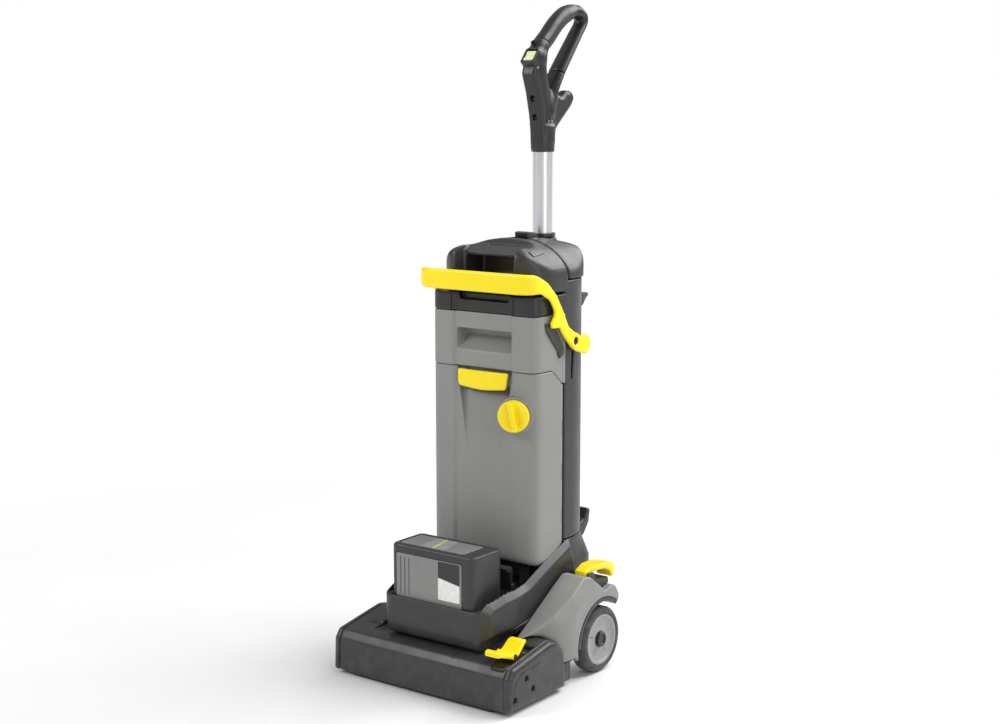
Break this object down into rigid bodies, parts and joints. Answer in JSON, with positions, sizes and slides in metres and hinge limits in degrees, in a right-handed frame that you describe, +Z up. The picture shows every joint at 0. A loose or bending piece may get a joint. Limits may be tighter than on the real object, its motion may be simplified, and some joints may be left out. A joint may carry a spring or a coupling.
{
  "type": "floor scrubber machine",
  "caption": "Upright walk-behind floor scrubber: cylindrical brush head on transport wheels, tilting body with battery, stacked water tanks, carrying bail and telescoping loop handle.",
  "frame": {"origin": "on the floor, under the middle of the front suction blade, 238 mm in front of the wheel axle", "axes": "+Z up, -Y towards the front of the machine (scrub head and battery), +X to the side of the foot pedals"},
  "size_m": [0.335, 0.4261, 1.0175],
  "materials": {
    "dark_plastic": "textured moulded",
    "black_plastic": "satin moulded",
    "grey_plastic": "fine textured moulded",
    "panel_grey": "fine textured moulded",
    "yellow_plastic": "smooth moulded",
    "rim_grey": "smooth moulded",
    "tyre_rubber": "matt",
    "rubber": "matt",
    "steel": "zinc plated",
    "tube_aluminium": "anodised",
    "bristle": "nylon bristle",
    "circuit": "lacquered board",
    "cell": "sleeved cell",
    "float_orange": "smooth moulded",
    "rocker": "translucent moulded"
  },
  "bodies": {
    "chassis": {"head_housing": "dark_plastic", "end_plate_left": "dark_plastic", "end_plate_right": "dark_plastic", "end_plate_screws": "steel", "pedal_insert": "black_plastic", "fender_left": "grey_plastic", "fender_right": "grey_plastic", "arch_liners": "dark_plastic", "chassis_frame": "dark_plastic", "axle": "steel", "brush_motor": "steel", "drive_belt": "rubber", "brush_bearings": "steel", "suction_bellows": "rubber", "pedal_bracket": "black_plastic"},
    "wheel_left": {"tyre_left": "tyre_rubber", "rim_left": "rim_grey", "hub_cap_left": "black_plastic"},
    "wheel_right": {"tyre_right": "tyre_rubber", "rim_right": "rim_grey", "hub_cap_right": "black_plastic"},
    "brush": {"brush_core": "black_plastic", "brush_bristles": "bristle", "brush_pulley": "black_plastic"},
    "motor_rotor": {"motor_pulley": "steel"},
    "front_suction_bar": {"front_bar": "black_plastic", "front_blade": "rubber"},
    "rear_suction_bar": {"rear_bar": "black_plastic", "rear_blade": "rubber"},
    "bar_pedal": {"bar_pedal": "yellow_plastic"},
    "tilt_pedal": {"tilt_pedal": "yellow_plastic"},
    "upper": {"lower_frame": "dark_plastic", "column_base": "dark_plastic", "column_shell": "dark_plastic", "column_cap": "dark_plastic", "pivot_bushes": "steel", "tube_guide": "black_plastic", "suction_hose": "rubber", "turbine_housing": "steel", "control_board": "circuit", "bail_pins": "steel"},
    "impeller": {"impeller": "steel"},
    "tube_latch": {"tube_latch": "black_plastic"},
    "cable_hook": {"cable_hook": "dark_plastic"},
    "bail": {"bail": "yellow_plastic"},
    "fresh_tank": {"fresh_tank": "grey_plastic"},
    "dosing_knob": {"dosing_knob": "yellow_plastic"},
    "tank_grip": {"tank_grip": "yellow_plastic"},
    "dirty_tank": {"dirty_tank": "grey_plastic"},
    "float": {"float": "float_orange"},
    "lid": {"lid_frame": "black_plastic", "dome_cover": "dark_plastic"},
    "battery": {"battery_case": "dark_plastic", "battery_panels": "panel_grey", "battery_cells": "cell"},
    "battery_latch": {"battery_latch": "black_plastic"},
    "handle": {"tube": "tube_aluminium", "handle_shell": "black_plastic", "handle_screws": "steel"},
    "power_rocker": {"power_rocker": "rocker"}
  },
  "joints": [
    {"name": "wheel_left_spin", "type": "hinge", "parent": "chassis", "child": "wheel_left", "pos_m": [0, 0.238, 0.051], "axis": [1, 0, 0], "continuous": true},
    {"name": "wheel_right_spin", "type": "hinge", "parent": "chassis", "child": "wheel_right", "pos_m": [0, 0.238, 0.051], "axis": [1, 0, 0], "continuous": true},
    {"name": "brush_spin", "type": "hinge", "parent": "chassis", "child": "brush", "pos_m": [0, 0.035, 0.0315], "axis": [1, 0, 0], "continuous": true},
    {"name": "motor_spin", "type": "hinge", "parent": "chassis", "child": "motor_rotor", "pos_m": [0, 0.108, 0.041], "axis": [1, 0, 0], "continuous": true},
    {"name": "bar_pedal_press", "type": "hinge", "parent": "chassis", "child": "bar_pedal", "pos_m": [0, 0.032, 0.0782], "axis": [-1, 0, 0], "range_deg": [0, 18], "stiffness_Nm_per_rad": 2},
    {"name": "front_bar_lift", "type": "slide", "parent": "chassis", "child": "front_suction_bar", "axis": [0, 0, 1], "range_m": [0, 0.008], "stiffness_N_per_m": 8000},
    {"name": "rear_bar_lift", "type": "slide", "parent": "chassis", "child": "rear_suction_bar", "axis": [0, 0, 1], "range_m": [0, 0.008], "stiffness_N_per_m": 8000},
    {"name": "tilt_pedal_press", "type": "hinge", "parent": "chassis", "child": "tilt_pedal", "pos_m": [0.135, 0.224, 0.152], "axis": [-1, 0, 0], "range_deg": [0, 10], "stiffness_Nm_per_rad": 3},
    {"name": "body_tilt", "type": "hinge", "parent": "chassis", "child": "upper", "pos_m": [0, 0.238, 0.051], "axis": [-1, 0, 0], "range_deg": [0, 50]},
    {"name": "impeller_spin", "type": "hinge", "parent": "upper", "child": "impeller", "pos_m": [-0.05, 0.272, 0.42], "axis": [0, 0, 1], "continuous": true},
    {"name": "tube_latch_flip", "type": "hinge", "parent": "upper", "child": "tube_latch", "pos_m": [0, 0.282, 0.659], "axis": [-1, 0, 0], "range_deg": [0, 60]},
    {"name": "cable_hook_turn", "type": "hinge", "parent": "upper", "child": "cable_hook", "pos_m": [0, 0.33, 0.561], "axis": [0, 1, 0], "range_deg": [0, 180]},
    {"name": "bail_swing", "type": "hinge", "parent": "upper", "child": "bail", "pos_m": [0, 0.242, 0.508], "axis": [1, 0, 0], "range_deg": [0, 60], "stiffness_Nm_per_rad": 0.8, "springref_deg": -34.38},
    {"name": "fresh_tank_lift", "type": "slide", "parent": "upper", "child": "fresh_tank", "axis": [0, 0, 1], "range_m": [0, 0.12]},
    {"name": "dirty_tank_lift", "type": "slide", "parent": "fresh_tank", "child": "dirty_tank", "axis": [0, 0, 1], "range_m": [0, 0.06]},
    {"name": "lid_lift", "type": "slide", "parent": "dirty_tank", "child": "lid", "axis": [0, 0, 1], "range_m": [0, 0.05]},
    {"name": "dosing_turn", "type": "hinge", "parent": "fresh_tank", "child": "dosing_knob", "pos_m": [0.063, 0.15, 0.403], "axis": [0.342, -0.9397, 0], "range_deg": [0, 90]},
    {"name": "tank_grip_pull", "type": "hinge", "parent": "fresh_tank", "child": "tank_grip", "pos_m": [0, 0.156, 0.46], "axis": [-1, 0, 0], "range_deg": [0, 20], "stiffness_Nm_per_rad": 0.3},
    {"name": "float_rise", "type": "slide", "parent": "dirty_tank", "child": "float", "axis": [0, 0, 1], "range_m": [0, 0.012]},
    {"name": "battery_lift", "type": "slide", "parent": "upper", "child": "battery", "axis": [0, 0, 1], "range_m": [0, 0.12]},
    {"name": "battery_latch_release", "type": "hinge", "parent": "upper", "child": "battery_latch", "pos_m": [0.062, 0.125, 0.147], "axis": [-1, 0, 0], "range_deg": [0, 15], "stiffness_Nm_per_rad": 0.2},
    {"name": "handle_slide", "type": "slide", "parent": "upper", "child": "handle", "axis": [0, 0, 1], "range_m": [-0.115, 0.162], "stiffness_N_per_m": 400},
    {"name": "power_switch", "type": "hinge", "parent": "handle", "child": "power_rocker", "pos_m": [0, 0.278, 0.929], "axis": [1, 0, 0], "range_deg": [0, 12]}
  ],
  "couplings": [
    {"joint": "motor_spin", "follows": "brush_spin", "ratio": 2},
    {"joint": "front_bar_lift", "follows": "bar_pedal_press", "m_per_rad": 0.02545},
    {"joint": "rear_bar_lift", "follows": "bar_pedal_press", "m_per_rad": 0.02545}
  ]
}
